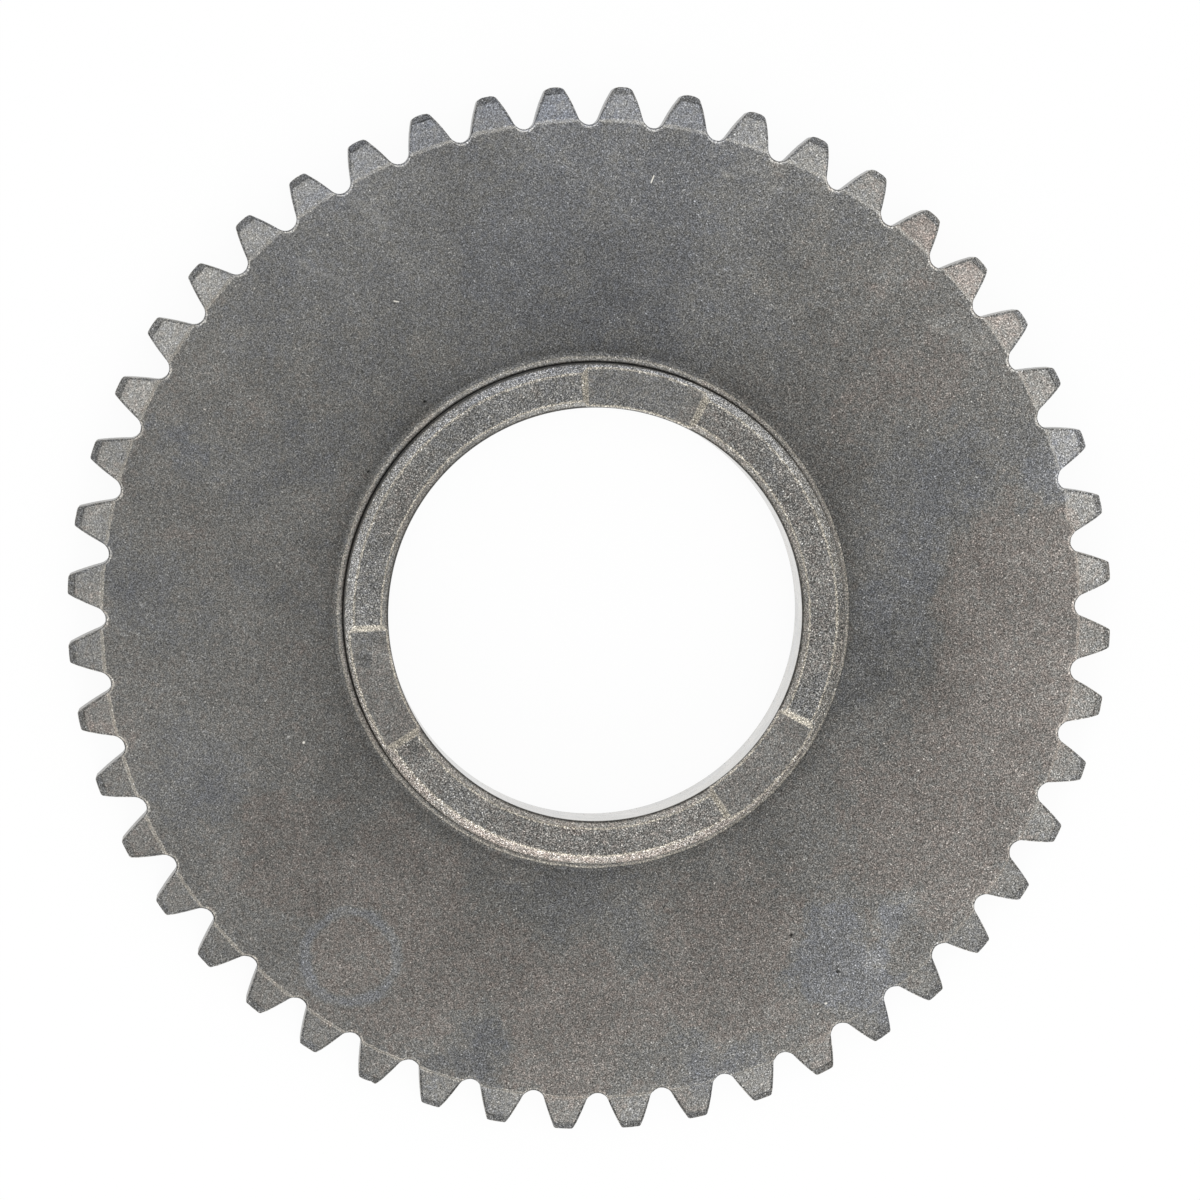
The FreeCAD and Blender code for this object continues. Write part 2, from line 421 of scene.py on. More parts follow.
longest_cut_share = 0.45
rows, row_finish = [], []
for number, corner in enumerate(section):
    before, after = section[number - 1], section[(number + 1) % len(section)]
    back, back_length = directions(before["place"] - corner["place"])
    ahead, ahead_length = directions(after["place"] - corner["place"])
    cut_back = np.minimum(np.abs(corner["cut"][0]), longest_cut_share * back_length)[:, None]
    cut_ahead = np.minimum(np.abs(corner["cut"][1]), longest_cut_share * ahead_length)[:, None]
    first = corner["place"] + back * cut_back
    last = corner["place"] + ahead * cut_ahead
    finish_before, finish_after = run_finish(before["name"]), run_finish(corner["name"])
    for t in np.linspace(0, 1, corner["samples"]):
        rows.append((1 - t) ** 2 * first + 2 * t * (1 - t) * corner["place"] + t ** 2 * last)
        blend = (1 - t) * finish_before + t * finish_after
        on_edge = corner["wear_and_painted_light"] * 4 * t * (1 - t)
        # Below zero a corner paints a thin line of shade into the tone; above zero it bares the metal, and
        # at the disc's edge it also paints a highlight.
        blend[:, 0] *= 1 + np.minimum(on_edge, 0)
        blend[:, 3] = np.maximum(blend[:, 3], on_edge)
        row_finish.append(blend)
rows = np.array(rows)
row_finish = np.array(row_finish)
print("rows and spokes:", rows.shape[:2], "triangles:", 2 * rows.shape[0] * rows.shape[1])


# %% Make the mesh
def ring_mesh(name, rows):
    """A closed ring: row j at spoke i is the point (radius cos angle, radius sin angle, height).
    Both the rows and the spokes join end to end, so the surface has no border."""
    row_count, spoke_count = rows.shape[:2]
    points = np.stack([rows[..., 0] * np.cos(spokes), rows[..., 0] * np.sin(spokes),
                       rows[..., 1]], axis=-1).reshape(-1, 3) * metre
    row, spoke = np.meshgrid(np.arange(row_count), np.arange(spoke_count), indexing="ij")
    next_row, next_spoke = (row + 1) % row_count, (spoke + 1) % spoke_count
    quads = np.stack([row * spoke_count + spoke, next_row * spoke_count + spoke,
                      next_row * spoke_count + next_spoke, row * spoke_count + next_spoke], axis=-1)
    mesh = bpy.data.meshes.new(name)
    mesh.from_pydata(points, [], quads.reshape(-1, 4))
    mesh.shade_smooth()
    piece = bpy.data.objects.new(name, mesh)
    bpy.context.scene.collection.objects.link(piece)
    return piece


sprocket = ring_mesh("sprocket_steel", rows)
finish_names = ("tone", "warmth", "grit", "bareness_and_highlight", "polish")
for number, attribute_name in enumerate(finish_names):
    attribute = sprocket.data.attributes.new(attribute_name, "FLOAT", "POINT")
    attribute.data.foreach_set("value", row_finish[..., number].ravel().astype(np.float32))
keep_flats = sprocket.modifiers.new("flat faces stay flat", "WEIGHTED_NORMAL")
keep_flats.weight = 60
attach(sprocket, "root")
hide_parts("drive_sprocket")
print("mesh points", len(sprocket.data.vertices), "faces", len(sprocket.data.polygons))

# %% [markdown]
# ## Blasted steel
# The part is hardened steel, cleaned with shot. The shot leaves tiny dents side by side, so the
# metal has no mirror: each dent throws the light its own way, and the skin glitters in fine grey
# speckles. A photograph of the skin could be laid over it, but noise in real sizes shows the
# same at every distance. Shot dents are about 0.1 mm wide, too fine to show, so they are drawn
# at 0.175 mm. Brightness goes by the exponent of the noise, so a few dents glint while most stay
# near the middle grey.

# %% Helpers for materials
def linear(hex_colour):
    """An sRGB hex colour as the linear colour that a shader needs: the dark end is divided by
    12.92, and the rest follows the 2.4 power curve."""
    channels = [int(hex_colour[i:i + 2], 16) / 255 for i in (1, 3, 5)]
    return [c / 12.92 if c <= 0.04045 else ((c + 0.055) / 1.055) ** 2.4 for c in channels] + [1.0]


def add(tree, kind, *values, out=0, named=None, **settings):
    """Adds one shader node and gives one of its outputs. Values go to its sockets in order, and
    named ones by name or number. A value that is another node's output is linked."""
    made = tree.nodes.new("ShaderNode" + kind)
    for name, value in settings.items():
        setattr(made, name, value)
    for socket, value in list(enumerate(values)) + list((named or {}).items()):
        if isinstance(value, bpy.types.NodeSocket):
            tree.links.new(value, made.inputs[socket])
        else:
            made.inputs[socket].default_value = value
    return made.outputs[out]


def scale_for(width):
    """The scale of a noise whose spots are about this many millimetres wide: one over it."""
    return 1 / (width * metre)


def picture_direction(degrees):
    """The flat direction on the part for one in the picture, where 0 is right and 90 is up."""
    turned = math.radians(degrees) - turn_view
    return math.cos(turned), math.sin(turned), 0


print("a middle grey in linear light:", round(linear("#808080")[0], 3))

# %% Start the steel: where a point is, and what the mesh says of it
steel = bpy.data.materials.new("blasted_steel")
steel.use_nodes = True
tree = steel.node_tree
tree.nodes.clear()
place = add(tree, "TexCoord", out="Object")
tone, warmth, grit, bareness_and_highlight, polish = (add(tree, "Attribute", attribute_name=name, out="Fac")
                                        for name in finish_names)
flat_place = add(tree, "VectorMath", place, (1, 1, 0), operation="MULTIPLY")
from_axis = add(tree, "VectorMath", flat_place, operation="LENGTH", out="Value")
print("the steel reads from the mesh:", ", ".join(finish_names))

# %% Dents and speckles
turned_place = add(tree, "Mapping", place, (0, 0, 0), (0.6, 0.4, 0.7))
dent_width, glint_width, speckle_width = 0.175, 0.16, 0.30
dent_shade = add(tree, "TexNoise", named={"Vector": turned_place, "Scale": scale_for(dent_width),
                                          "Detail": 0.0})
# Each cell has a random colour. A cell with much red is a painted glint, and one with much green is a
# pinhole.
rare_from, glint_gain, pinhole_depth = 0.93, 0.7, 0.8
glint_cells = add(tree, "TexVoronoi", named={"Vector": turned_place, "Scale": scale_for(glint_width)},
                  out="Color")
cell_red = add(tree, "SeparateColor", glint_cells, out="Red")
glint = add(tree, "MapRange", cell_red, rare_from, 1.0, 0.0, glint_gain)
cell_green = add(tree, "SeparateColor", glint_cells, out="Green")
pinhole = add(tree, "MapRange", cell_green, rare_from, 1.0, 0.0, pinhole_depth)
speckle = add(tree, "TexNoise", named={"Vector": place, "Scale": scale_for(speckle_width),
                                       "Detail": 2.0, "Roughness": 0.7})
print("dents %.3f mm, glints %.3f mm, speckles %.3f mm" % (dent_width, glint_width, speckle_width))

# %% Grain as the exponent of the noise
dent_swing, mean_shift = 2.65, -0.07
grain = add(tree, "Math", dent_shade, dent_swing, -dent_swing / 2, operation="MULTIPLY_ADD")
grain = add(tree, "Math", grain, glint, operation="ADD")
grain = add(tree, "Math", grain, pinhole, operation="SUBTRACT")
side_degrees, grit_per_metre, middle_grit = -20, 2.4, 0.98
toward_side = add(tree, "VectorMath", flat_place, picture_direction(side_degrees),
                  operation="DOT_PRODUCT", out="Value")
side_grit = add(tree, "Math", toward_side, grit_per_metre, middle_grit, operation="MULTIPLY_ADD")
grain = add(tree, "Math", grain, side_grit, operation="MULTIPLY")
grain = add(tree, "Math", grain, grit, mean_shift, operation="MULTIPLY_ADD")
grain = add(tree, "Math", grain, operation="EXPONENT")
print("dents swing the exponent by %.2f, grittiest towards %d degrees" % (dent_swing, side_degrees))

# %% [markdown]
# ## Tone of the disc
# The disc grows paler from the hub to the teeth, and its right side is a little paler and
# grittier than its left. Painted shade darkens the disc at the foot of the bead. Over that lie
# soft clouds, left by oil and by the hardening furnace. All this could be one painted picture,
# but distances and noise stay sharp at any size. The back is left plain.

# %% Tone from the radius and the side
tone_wave_width, tone_wave_reach = 22, 8
tone_at_hub, tone_at_rim, shade_at_bead = 0.88, 1.27, 0.86
tone_wave = add(tree, "TexNoise", named={"Vector": place, "Scale": scale_for(tone_wave_width),
                                         "Detail": 3.0})
waved_radius = add(tree, "Math", tone_wave, 2 * tone_wave_reach * metre, -tone_wave_reach * metre,
                   operation="MULTIPLY_ADD")
waved_radius = add(tree, "Math", from_axis, waved_radius, operation="ADD")
toward_edge = add(tree, "MapRange", waved_radius, 36 * metre, 68 * metre, tone_at_hub, tone_at_rim)
# Painted shade on the disc at the foot of the bead.
foot_shade = add(tree, "MapRange", from_axis, 36.2 * metre, 38.2 * metre, shade_at_bead, 1.0)
toward_edge = add(tree, "Math", toward_edge, foot_shade, operation="MULTIPLY")
side_share = add(tree, "MapRange", from_axis, 38 * metre, 66 * metre, 0.3, 2.2)
disc_tone = add(tree, "Math", toward_side, side_share, toward_edge, operation="MULTIPLY_ADD")
print("tone from %.2f at the hub to %.2f at the rim" % (tone_at_hub, tone_at_rim))

# %% The hub is only mottled
mottle_width, mottle_swing, mottle_floor = 2, 0.5, 0.75
on_hub = add(tree, "Math", from_axis, (hub_radius + 0.1) * metre, operation="LESS_THAN")
height = add(tree, "SeparateXYZ", place, out="Z")
on_front = add(tree, "Math", height, 0.02 * metre, operation="GREATER_THAN")
off_disc = add(tree, "Math", on_hub, on_front, operation="SUBTRACT")
off_disc = add(tree, "Math", off_disc, 1.0, operation="ADD", use_clamp=True)
mottle = add(tree, "TexNoise", named={"Vector": place, "Scale": scale_for(mottle_width),
                                      "Detail": 3.0})
mottle = add(tree, "Math", mottle, mottle_swing, mottle_floor, operation="MULTIPLY_ADD")
disc_tone = add(tree, "Mix", off_disc, named={2: disc_tone, 3: mottle})
print("the hub's mottle is %d mm wide" % mottle_width)

# %% Clouds
cloud_width, stain_width, tint_width = 13, 24, 0.7
cloud_swing, cloud_floor = 0.55, 0.725
cloud = add(tree, "TexNoise", named={"Vector": place, "Scale": scale_for(cloud_width), "Detail": 5.0,
                                     "Roughness": 0.6})
cloud_tone = add(tree, "Math", cloud, cloud_swing, cloud_floor, operation="MULTIPLY_ADD")
# A step of some decimetres reaches another part of the noise, so no two patterns are alike.
stain_place = add(tree, "VectorMath", place, (0.4, 0.1, 0.2), operation="ADD")
stain_cloud = add(tree, "TexNoise", named={"Vector": stain_place, "Scale": scale_for(stain_width),
                                           "Detail": 4.0, "Roughness": 0.55})
tint_place = add(tree, "VectorMath", place, (0.7, 0.3, 0.5), operation="ADD")
tint_speckle = add(tree, "TexNoise", named={"Vector": tint_place, "Scale": scale_for(tint_width),
                                            "Detail": 2.0})
print("clouds %d mm, stains %d mm, coloured speckles %.1f mm" % (cloud_width, stain_width, tint_width))

# %% [markdown]
# ## Stains at their places
# Larger stains can be told apart on the real disc: bluish and dark patches, brown ones towards
# the right and the bottom, and the faint blue ring that something wet left at the lower left.
# They could be drawn as shapes. Here each is a distance from a centre, which a coarse noise makes
# ragged, and their warmth is later stepped into a few levels, because the real stains are flat
# inside and end at an edge.

# %% Patches
patches = [
    # name, x mm, y mm, radius mm, softness mm, change of tone, change of warmth
    ("cool patch at the top", 6.0, 54.0, 8.0, 16.0, 0.0, -0.40),
    ("blue edge at the top", 0.0, 69.0, 1.5, 5.0, 0.0, -0.8),
    ("dark patch above the hub", 10.0, 46.0, 2.0, 10.0, -0.07, -0.10),
    ("dark patch right of the hub", 44.0, -8.0, 3.0, 11.0, -0.12, 0.0),
    ("dark spot right of the hub", 40.8, -8.0, 0.6, 4.0, -0.12, 0.0),
    ("cool tongue, upper end", 48.3, 16.0, 3.0, 8.0, -0.05, -0.6),
    ("cool tongue, middle", 46.0, 7.0, 2.0, 7.0, 0.0, -0.4),
    ("cool tongue, lower end", 42.5, -2.0, 3.0, 7.0, 0.0, -0.5),
    ("brown edge at the right", 62.0, 2.0, 6.0, 10.0, 0.02, 0.6),
    ("brown edge below it", 57.0, -17.0, 7.0, 10.0, 0.05, 0.6),
    ("brown patch at the lower right", 45.0, -33.0, 5.0, 12.0, 0.02, 0.75),
    ("brown patch right of the bottom", 16.0, -50.0, 6.0, 11.0, -0.03, 0.5),
    ("brown patch at the bottom", -6.0, -56.0, 7.0, 12.0, 0.0, 0.5),
    ("brown patch at the lower left", -31.0, -43.0, 7.0, 13.0, -0.03, 0.5),
    ("dark brown patch at the left", -47.0, -29.0, 3.0, 9.0, -0.08, 0.35),
    ("neutral patch below the hub", -3.5, -42.0, 4.0, 8.0, -0.05, -0.45),
    ("blue patch at the lower right", 31.0, -53.0, 4.0, 6.0, 0.02, -1.3),
    ("pale spot at its right end", 37.2, -48.0, 0.8, 4.0, 0.22, 0.0),
    ("inside of the ring stain", -37.5, -45.3, 4.5, 2.0, 0.02, 0.0),
    ("cool left edge, lower", -57.0, -18.0, 2.0, 8.0, -0.03, -0.32),
    ("cool left edge, upper", -64.0, 10.0, 2.0, 7.0, -0.04, -0.3),
    ("dark patch at the bottom edge", -20.5, -61.5, 1.5, 5.0, -0.12, -0.5),
    ("cool patch at the bottom edge", 13.0, -64.0, 1.5, 5.0, 0.0, -0.5),
    ("brown patch at the upper right", 43.2, 38.0, 4.0, 9.0, -0.04, 0.2),
    ("brown patch beside it", 51.4, 27.0, 2.0, 7.0, -0.02, 0.2),
    ("cool patch at the right edge", 65.0, 14.0, 2.0, 5.0, 0.0, -0.8),
    ("pale streak at the upper right", 54.1, 34.3, 0.6, 4.0, 0.18, 0.0),
    ("blue spot at the left", -55.8, 27.3, 0.5, 4.0, -0.07, -0.7),
    ("pale spot beside it", -53.2, 24.2, 0.5, 3.0, 0.08, 0.0),
    ("dark spot at the upper left", -38.3, 24.8, 1.0, 6.0, -0.08, -0.4),
    ("pale patch at the upper left", -29.5, 60.3, 0.8, 5.0, 0.13, 0.0),
    ("dark spot on the hub", -26.4, -16.4, 0.1, 1.5, -0.30, -0.2),
    ("pale spot by the notch's end", 17.2, 30.2, 0.2, 1.6, 0.30, 0.1),
    ("dark spot on the notch floor", -32.2, -3.5, 0.1, 1.3, -0.35, -0.3),
]
print("widest patch, in mm:", max(radius + softness for _, _, _, radius, softness, _, _ in patches))

# %% Ragged distances, and the patches added up
ragged_width, ragged_reach, gentle_reach, crisp_softness = 6, 26, 2.5, 2
blotch_tone, blotch_warmth = 0.45, 0.9
ragged_noise = add(tree, "TexNoise", named={"Vector": place, "Scale": scale_for(ragged_width),
                                            "Detail": 5.0, "Roughness": 0.65}, out="Color")
ragged_noise = add(tree, "VectorMath", ragged_noise, (0.5, 0.5, 0.5), operation="SUBTRACT")
ragged_place = add(tree, "VectorMath", ragged_noise,
                   (ragged_reach * metre, ragged_reach * metre, 0), flat_place, operation="MULTIPLY_ADD")
gentle_place = add(tree, "VectorMath", ragged_noise,
                   (gentle_reach * metre, gentle_reach * metre, 0), flat_place, operation="MULTIPLY_ADD")
blotch = add(tree, "SeparateXYZ", ragged_noise, out="Z")
patch_tone = add(tree, "Math", blotch, blotch_tone, 1.0, operation="MULTIPLY_ADD")
patch_warmth = add(tree, "Math", blotch, blotch_warmth, operation="MULTIPLY")
for patch_name, x, y, radius, softness, tone_change, warmth_change in patches:
    noisy_place = gentle_place if softness < crisp_softness else ragged_place
    off = add(tree, "VectorMath", noisy_place, (x * metre, y * metre, 0), operation="DISTANCE", out="Value")
    inside = add(tree, "MapRange", off, radius * metre, (radius + softness) * metre, 1.0, 0.0,
                 interpolation_type="SMOOTHSTEP")
    inside.node.label = patch_name
    patch_tone = add(tree, "Math", inside, tone_change, patch_tone, operation="MULTIPLY_ADD")
    patch_warmth = add(tree, "Math", inside, warmth_change, patch_warmth, operation="MULTIPLY_ADD")
print(len(patches), "patches")

# %% Ring stain
ring_x, ring_y, ring_radius = -37.5, -45.3, 6.4
ring_core, ring_fade, ring_tone, ring_warmth = 0.2, 1.3, 0.13, -1.0
ring_off = add(tree, "VectorMath", gentle_place, (ring_x * metre, ring_y * metre, 0), operation="DISTANCE",
               out="Value")
ring_gap = add(tree, "Math", ring_off, ring_radius * metre, operation="SUBTRACT")
ring_gap = add(tree, "Math", ring_gap, operation="ABSOLUTE")
ring = add(tree, "MapRange", ring_gap, ring_core * metre, ring_fade * metre, 1.0, 0.0,
           interpolation_type="SMOOTHSTEP")
patch_tone = add(tree, "Math", ring, ring_tone, patch_tone, operation="MULTIPLY_ADD")
patch_warmth = add(tree, "Math", ring, ring_warmth, patch_warmth, operation="MULTIPLY_ADD")
patch_tone = add(tree, "Mix", on_front, named={2: 1.0, 3: patch_tone})
patch_warmth = add(tree, "Math", patch_warmth, on_front, operation="MULTIPLY")
print("ring stain %.1f mm across, %.1f mm from the axis" % (2 * ring_radius, math.hypot(ring_x, ring_y)))

# %% [markdown]
# ## Small marks
# Two pale nicks, two white specks, a few faint scuffs and dark pits lie on the disc. They could
# be cut into the mesh, but most are thinner than its faces. Each is a short stroke: a point's
# distance to a line piece of a given length, thin enough for a scratch or, with no length, a
# dot. The wide, faint scuffs get a ragged outline.

# %% Strokes and dots at their places
marks = [
    # name, x mm, y mm, direction in degrees, half length mm, half width mm, brightness
    ("white nick", 12.6, 59.4, 63, 0.50, 0.09, 1.0),
    ("pale nick", -24.1, 45.2, -15, 0.32, 0.08, 0.9),
    ("white speck at the left", -41.6, -14.9, 0, 0.0, 0.18, 1.0),
    ("white speck at the bottom", 28.6, -57.6, 0, 0.08, 0.13, 1.0),
    ("scuff at the top right", 23.3, 59.4, -26, 1.6, 0.35, 0.07),
    ("scuff beside it", 29.7, 56.9, -11, 1.1, 0.35, 0.08),
    ("scuff at the right rim", 54.4, 34.1, -22, 4.2, 0.50, 0.06),
    ("curl at the upper left", -34.4, 50.2, -26, 3.3, 0.40, 0.06),
    ("scuff above it", -27.1, 57.9, -39, 2.7, 0.80, 0.05),
    ("pit above the hub", -21.2, 31.1, 0, 0.1, 0.18, -0.85),
    ("pit left of the hub", -29.8, 22.0, 0, 0.05, 0.18, -0.8),
    ("pit at the lower right", 24.4, -47.5, 0, 0.0, 0.26, -0.85),
    ("second pit at the lower right", 30.6, -53.2, 0, 0.05, 0.24, -0.8),
]
mark_widths = [2 * half_width for _, _, _, _, _, half_width, _ in marks]
print("marks from %.2f to %.2f mm wide" % (min(mark_widths), max(mark_widths)))

# %% Strokes and dots added up
faint_half_width, mark_core, mark_fade = 0.3, 0.6, 1.3
light_marks, dark_marks = 0.0, 0.0
for mark_name, x, y, direction, half_length, half_width, brightness in marks:
    mark_place = flat_place if half_width < faint_half_width else gentle_place
    centred = add(tree, "Mapping", mark_place, (x * metre, y * metre, 0), (0, 0, math.radians(direction)),
                  vector_type="TEXTURE")
    along = add(tree, "Math", add(tree, "SeparateXYZ", centred, out="X"), operation="ABSOLUTE")
    past_end = add(tree, "Math", add(tree, "Math", along, half_length * metre, operation="SUBTRACT"), 0.0,
                   operation="MAXIMUM")
    aside = add(tree, "SeparateXYZ", centred, out="Y")
    off = add(tree, "VectorMath", add(tree, "CombineXYZ", past_end, aside), operation="LENGTH", out="Value")
    on_mark = add(tree, "MapRange", off, mark_core * half_width * metre, mark_fade * half_width * metre,
                  abs(brightness), 0.0)
    on_mark.node.label = mark_name
    if brightness > 0:
        light_marks = add(tree, "Math", on_mark, light_marks, operation="ADD", use_clamp=True)
    else:
        dark_marks = add(tree, "Math", on_mark, dark_marks, operation="ADD", use_clamp=True)
light_marks = add(tree, "Math", light_marks, on_front, operation="MULTIPLY")
dark_marks = add(tree, "Math", dark_marks, on_front, operation="MULTIPLY")
print(len(marks), "marks")

# %% [markdown]
# ## Put the steel together
# Brown and blue greys are mixed by the warmth, multiplied by the tone and the grain, and bared
# edges go to a paler beige where the shot and the handling have taken the skin off. The same beige
# paints highlights on the notch ramps and on the disc's step. One plain grey would look like
# plastic: it is the small drift between blue and brown that reads as hardened steel. The dents
# also tilt the surface a little, which gives the glitter.

# %% Colours of the steel
blue_grey = linear("#6b6f78")
plain_grey = linear("#73726f")
brown_grey = linear("#82726a")
wear_and_highlight_beige = linear("#c2bbad")
pale_mark = linear("#e6e3da")
print("brightest part of the plain grey, linear:", round(max(plain_grey[:3]), 3))

# %% From warmth to a grey
cool_degrees, warmth_per_metre = 98, -4.0
stain_swing, stain_shift = 1.4, -0.72
coolest, warmest, stain_level = -0.65, 0.46, 0.33
toward_cool = add(tree, "VectorMath", flat_place, picture_direction(cool_degrees),
                  operation="DOT_PRODUCT", out="Value")
toward_cool = add(tree, "Math", toward_cool, 0.0, operation="MAXIMUM")
stain_warmth = add(tree, "Math", stain_cloud, stain_swing, stain_shift, operation="MULTIPLY_ADD")
stain_warmth = add(tree, "Math", toward_cool, warmth_per_metre, stain_warmth, operation="MULTIPLY_ADD")
stain_warmth = add(tree, "Math", stain_warmth, patch_warmth, operation="ADD")
stain_warmth = add(tree, "Clamp", stain_warmth, coolest, warmest)
print("stain warmth from %.2f to %.2f, in steps of %.2f" % (coolest, warmest, stain_level))

# %% Step the warmth, and mix the greys
step_from, step_to, tint_swing = 0.30, 0.70, 1.6
in_levels = add(tree, "Math", stain_warmth, stain_level, operation="DIVIDE")
past_level = add(tree, "Math", in_levels, operation="FRACT")
whole_levels = add(tree, "Math", in_levels, past_level, operation="SUBTRACT")
level_step = add(tree, "MapRange", past_level, step_from, step_to, 0.0, 1.0,
                 interpolation_type="SMOOTHSTEP")
in_levels = add(tree, "Math", whole_levels, level_step, operation="ADD")
all_warmth = add(tree, "Math", in_levels, stain_level, warmth, operation="MULTIPLY_ADD")
tint_part = add(tree, "Math", tint_speckle, tint_swing, -tint_swing / 2, operation="MULTIPLY_ADD")
all_warmth = add(tree, "Math", all_warmth, tint_part, operation="ADD")
to_brown = add(tree, "Math", all_warmth, 0.5, operation="MULTIPLY", use_clamp=True)
to_blue = add(tree, "Math", all_warmth, -0.5, operation="MULTIPLY", use_clamp=True)
grey = add(tree, "Mix", to_brown, named={6: plain_grey, 7: brown_grey}, data_type="RGBA", out=2)
grey = add(tree, "Mix", to_blue, named={6: grey, 7: blue_grey}, data_type="RGBA", out=2)
print("coloured speckles swing the warmth by", tint_swing)

# %% Grey, tone and grain together
all_tone = add(tree, "Math", disc_tone, tone, operation="MULTIPLY")
all_tone = add(tree, "Math", all_tone, cloud_tone, operation="MULTIPLY")
all_tone = add(tree, "Math", all_tone, patch_tone, operation="MULTIPLY")
all_tone = add(tree, "Math", all_tone, grain, operation="MULTIPLY")
skin = add(tree, "VectorMath", grey, named={"Scale": all_tone}, operation="SCALE")
print(len(tree.nodes), "nodes so far")

# %% Bared edges, painted highlights, pits and nicks
worn_swing, touched_from, most_worn = 1.6, 0.02, 0.7
wear_and_highlight_share = add(tree, "Math", speckle, worn_swing, -worn_swing / 2, operation="MULTIPLY_ADD")
wear_and_highlight_share = add(tree, "Math", wear_and_highlight_share, bareness_and_highlight, operation="ADD")
touched = add(tree, "Math", bareness_and_highlight, touched_from, operation="GREATER_THAN")
wear_and_highlight_share = add(tree, "Math", wear_and_highlight_share, touched, operation="MULTIPLY", use_clamp=True)
wear_and_highlight_share = add(tree, "Math", wear_and_highlight_share, most_worn, operation="MULTIPLY")
wear_and_highlight_colour = add(tree, "VectorMath", wear_and_highlight_beige[:3], named={"Scale": grain}, operation="SCALE")
skin = add(tree, "Mix", wear_and_highlight_share, named={6: skin, 7: wear_and_highlight_colour}, data_type="RGBA", out=2)
unpitted = add(tree, "Math", 1.0, dark_marks, operation="SUBTRACT")
skin = add(tree, "VectorMath", skin, named={"Scale": unpitted}, operation="SCALE")
skin = add(tree, "Mix", light_marks, named={6: skin, 7: pale_mark}, data_type="RGBA", out=2)
print(len(tree.nodes), "nodes with the bared edges and the marks")

# %% Surface of the steel
least_roughness, roughness_swing, polished_roughness = 0.45, 0.30, 0.18
dent_depth, blasted_tilt, polished_tilt = 0.05, 0.5, 0.05
blasted_roughness = add(tree, "Math", speckle, roughness_swing, least_roughness, operation="MULTIPLY_ADD")
roughness = add(tree, "Mix", polish, named={2: blasted_roughness, 3: polished_roughness})
dent_strength = add(tree, "MapRange", polish, 0.0, 1.0, blasted_tilt, polished_tilt)
dent_tilt = add(tree, "Bump", named={"Height": dent_shade, "Strength": dent_strength,
                                     "Distance": dent_depth * metre}, out="Normal")
surface = add(tree, "BsdfPrincipled", named={"Base Color": skin, "Metallic": 1.0, "Roughness": roughness,
                                             "Normal": dent_tilt})
steel_output = tree.nodes.new("ShaderNodeOutputMaterial")
tree.links.new(surface, steel_output.inputs["Surface"])
sprocket.data.materials.append(steel)
print(len(tree.nodes), "nodes in the steel")

# %% [markdown]
# ## Floor
# A plain pale sheet carries the part and keeps its shadow. To the camera, and in reflections, it
# is mostly an even white, which comes from its own colour and not from more lamp light.

# %% Floor and its paper
def flat_sheet(name, half_width, height):
    """A square sheet as a grid of two by two points."""
    side = np.array([-half_width, half_width])
    x, y = np.meshgrid(side, side)
    points = np.stack([x, y, np.full_like(x, height)], axis=-1).reshape(-1, 3)
    mesh = bpy.data.meshes.new(name)
    mesh.from_pydata(points, [], [(0, 1, 3, 2)])
    sheet = bpy.data.objects.new(name, mesh)
    bpy.context.scene.collection.objects.link(sheet)
    return sheet


floor_half_width, floor_height = 3.0, -0.00005
floor = flat_sheet("floor", floor_half_width, floor_height)
paper = bpy.data.materials.new("white_paper")
paper.use_nodes = True
paper_tree = paper.node_tree
paper_tree.nodes.clear()
seen = add(paper_tree, "Math", add(paper_tree, "LightPath", out="Is Camera Ray"),
           add(paper_tree, "LightPath", out="Is Glossy Ray"), operation="MAXIMUM")
seen = add(paper_tree, "Math", seen, add(paper_tree, "LightPath", out="Is Transmission Ray"),
           operation="MAXIMUM")
pale_paper, plain_white = linear("#f7f7f7"), linear("#ffffff")
even_white_share = 0.94
even_share = add(paper_tree, "Math", seen, even_white_share, operation="MULTIPLY")
lit_paper = add(paper_tree, "BsdfDiffuse", pale_paper)
even_white = add(paper_tree, "Emission", plain_white, 1.0)
paper_surface = add(paper_tree, "MixShader", even_share, lit_paper, even_white)
paper_output = paper_tree.nodes.new("ShaderNodeOutputMaterial")
paper_tree.links.new(paper_surface, paper_output.inputs["Surface"])
floor.data.materials.append(paper)
print("floor %.1f m wide, %.0f %% even white" % (2 * floor_half_width, 100 * even_white_share))

# %% [markdown]
# ## Light
# The part lies in a soft white tent: pale walls all round, a dimmer top, and two wide lamps. One
# hangs overhead, and one stands low below the picture and brings out the slopes that face it. A
# bare lamp would put hot spots on the metal. All are at a level where a colour renders about as
# it is written.

# %% Lamps
from mathutils import Matrix, Vector


def soft_lamp(name, picture_degrees, elevation, distance, size, watts):
    """A square lamp that looks at the part from a direction in the picture (0 right, 90 up)."""
    flat_x, flat_y, _ = picture_direction(picture_degrees)
    rise = math.radians(elevation)
    spot = Vector((flat_x * math.cos(rise), flat_y * math.cos(rise), math.sin(rise))) * distance
    data = bpy.data.lights.new(name, "AREA")
    data.shape = "SQUARE"
    data.size = size
    data.energy = watts
    lamp = bpy.data.objects.new(name, data)
    lamp.location = spot
    lamp.rotation_euler = (-spot).to_track_quat("-Z", "Y").to_euler()
    bpy.context.scene.collection.objects.link(lamp)
    return lamp


lamps = [soft_lamp("overhead_light", 60, 78, 1.2, 0.8, 2.5),
         soft_lamp("low_light_below", 262, 25, 0.9, 0.5, 2.5)]
print("lamps:", ", ".join(lamp.name for lamp in lamps))

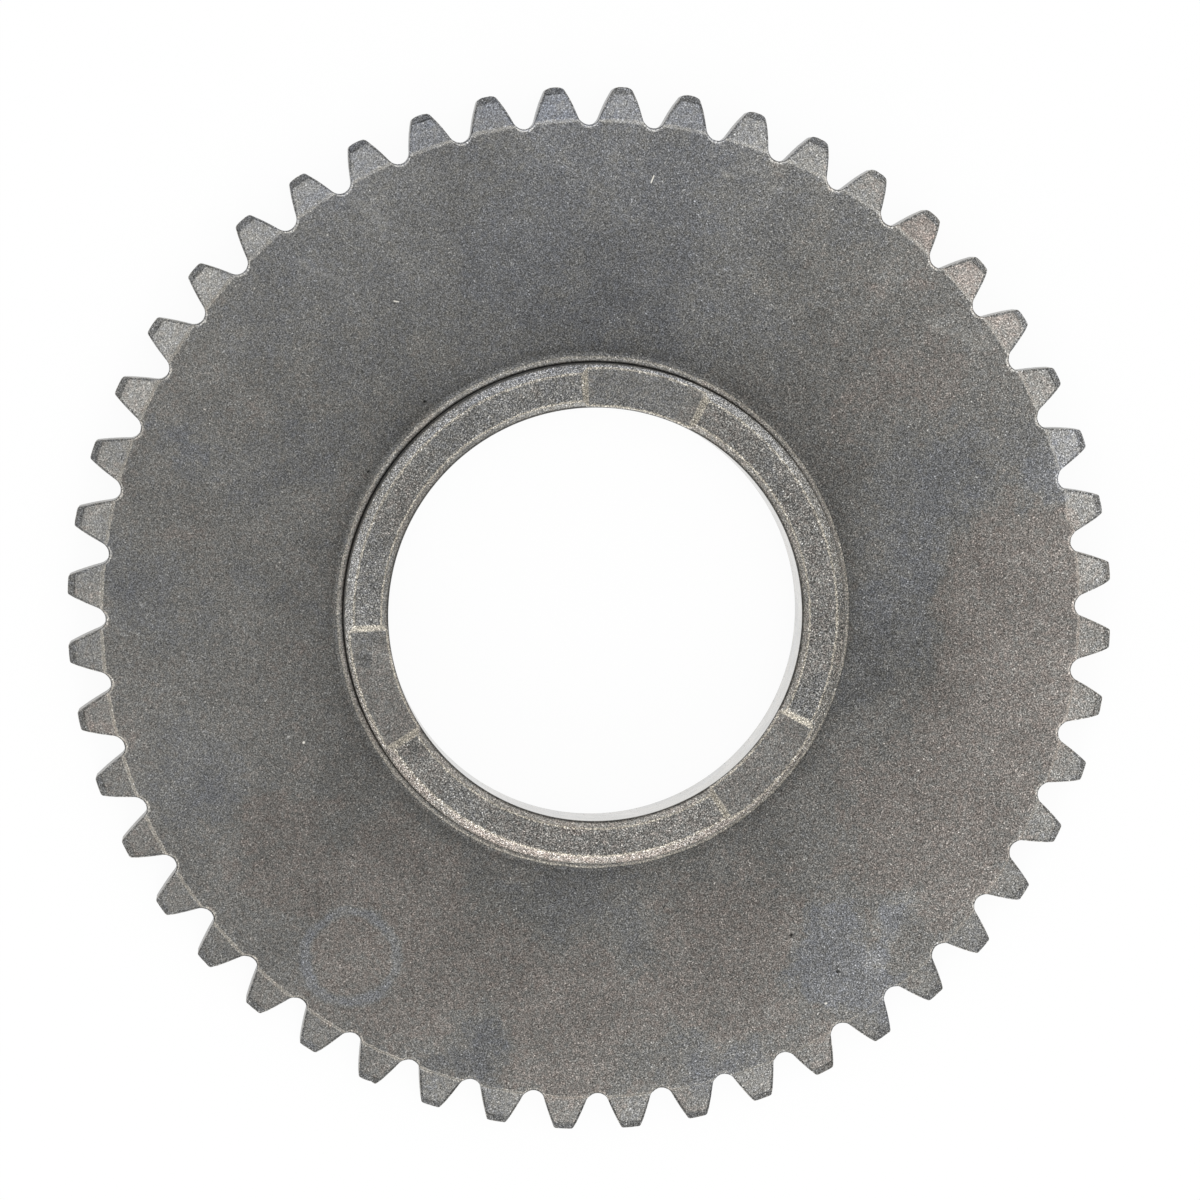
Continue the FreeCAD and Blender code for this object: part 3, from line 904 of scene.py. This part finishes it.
# %% Tent
world = bpy.data.worlds.new("tent")
bpy.context.scene.world = world
world.use_nodes = True
world_tree = world.node_tree
world_tree.nodes.clear()
sky = add(world_tree, "SeparateXYZ", add(world_tree, "TexCoord", out="Generated"), out="Z")
wall_level, top_level = 1.15, 0.70
tent_level = add(world_tree, "MapRange", sky, 0.0, 0.9, wall_level, top_level)
to_camera = add(world_tree, "LightPath", out="Is Camera Ray")
tent_level = add(world_tree, "Mix", to_camera, named={2: tent_level, 3: 1.0})
tent = add(world_tree, "Background", plain_white, tent_level)
world_output = world_tree.nodes.new("ShaderNodeOutputWorld")
world_tree.links.new(tent, world_output.inputs["Surface"])
print("tent walls", wall_level, "top", top_level)

# %% [markdown]
# ## Camera
# The photograph looks almost straight down, from a little towards its upper left, through a long
# lens. The tilt was found from how far the hub's rings are shifted against the tooth tips. The
# picture's up direction is turned a little against the first tooth.

# %% Camera where the photographer stood
camera_distance = 0.686
camera_tilt = math.radians(5.89)
tilt_direction = math.radians(-47.1)
axis_offset = np.array([-1.295, -1.312, 0.0]) * metre
focus_pixels = 4882.0
picture_pixels = 1200.0

up = np.array([math.sin(camera_tilt) * math.cos(tilt_direction),
               math.sin(camera_tilt) * math.sin(tilt_direction), math.cos(camera_tilt)])
right = np.array([1.0, 0.0, 0.0]) - up[0] * up
right /= np.linalg.norm(right)
part_axes = np.column_stack([right, np.cross(up, right), up])
turn = np.array([[math.cos(turn_view), -math.sin(turn_view), 0],
                 [math.sin(turn_view), math.cos(turn_view), 0], [0, 0, 1]])
to_part = (part_axes @ turn).T
stand = to_part @ (np.array([0, 0, camera_distance]) - axis_offset)
camera_data = bpy.data.cameras.new("camera")
camera_data.sensor_width = 36.0
camera_data.lens = focus_pixels / picture_pixels * camera_data.sensor_width
camera_data.clip_start = 0.05
camera_data.clip_end = 20.0
camera = bpy.data.objects.new("camera", camera_data)
camera.matrix_world = Matrix([list(to_part[i]) + [stand[i]] for i in range(3)] + [[0, 0, 0, 1]])
bpy.context.scene.collection.objects.link(camera)
bpy.context.scene.camera = camera
bpy.context.scene.view_settings.view_transform = "Standard"
print("camera at", stand.round(4), "lens %.1f mm" % camera_data.lens)
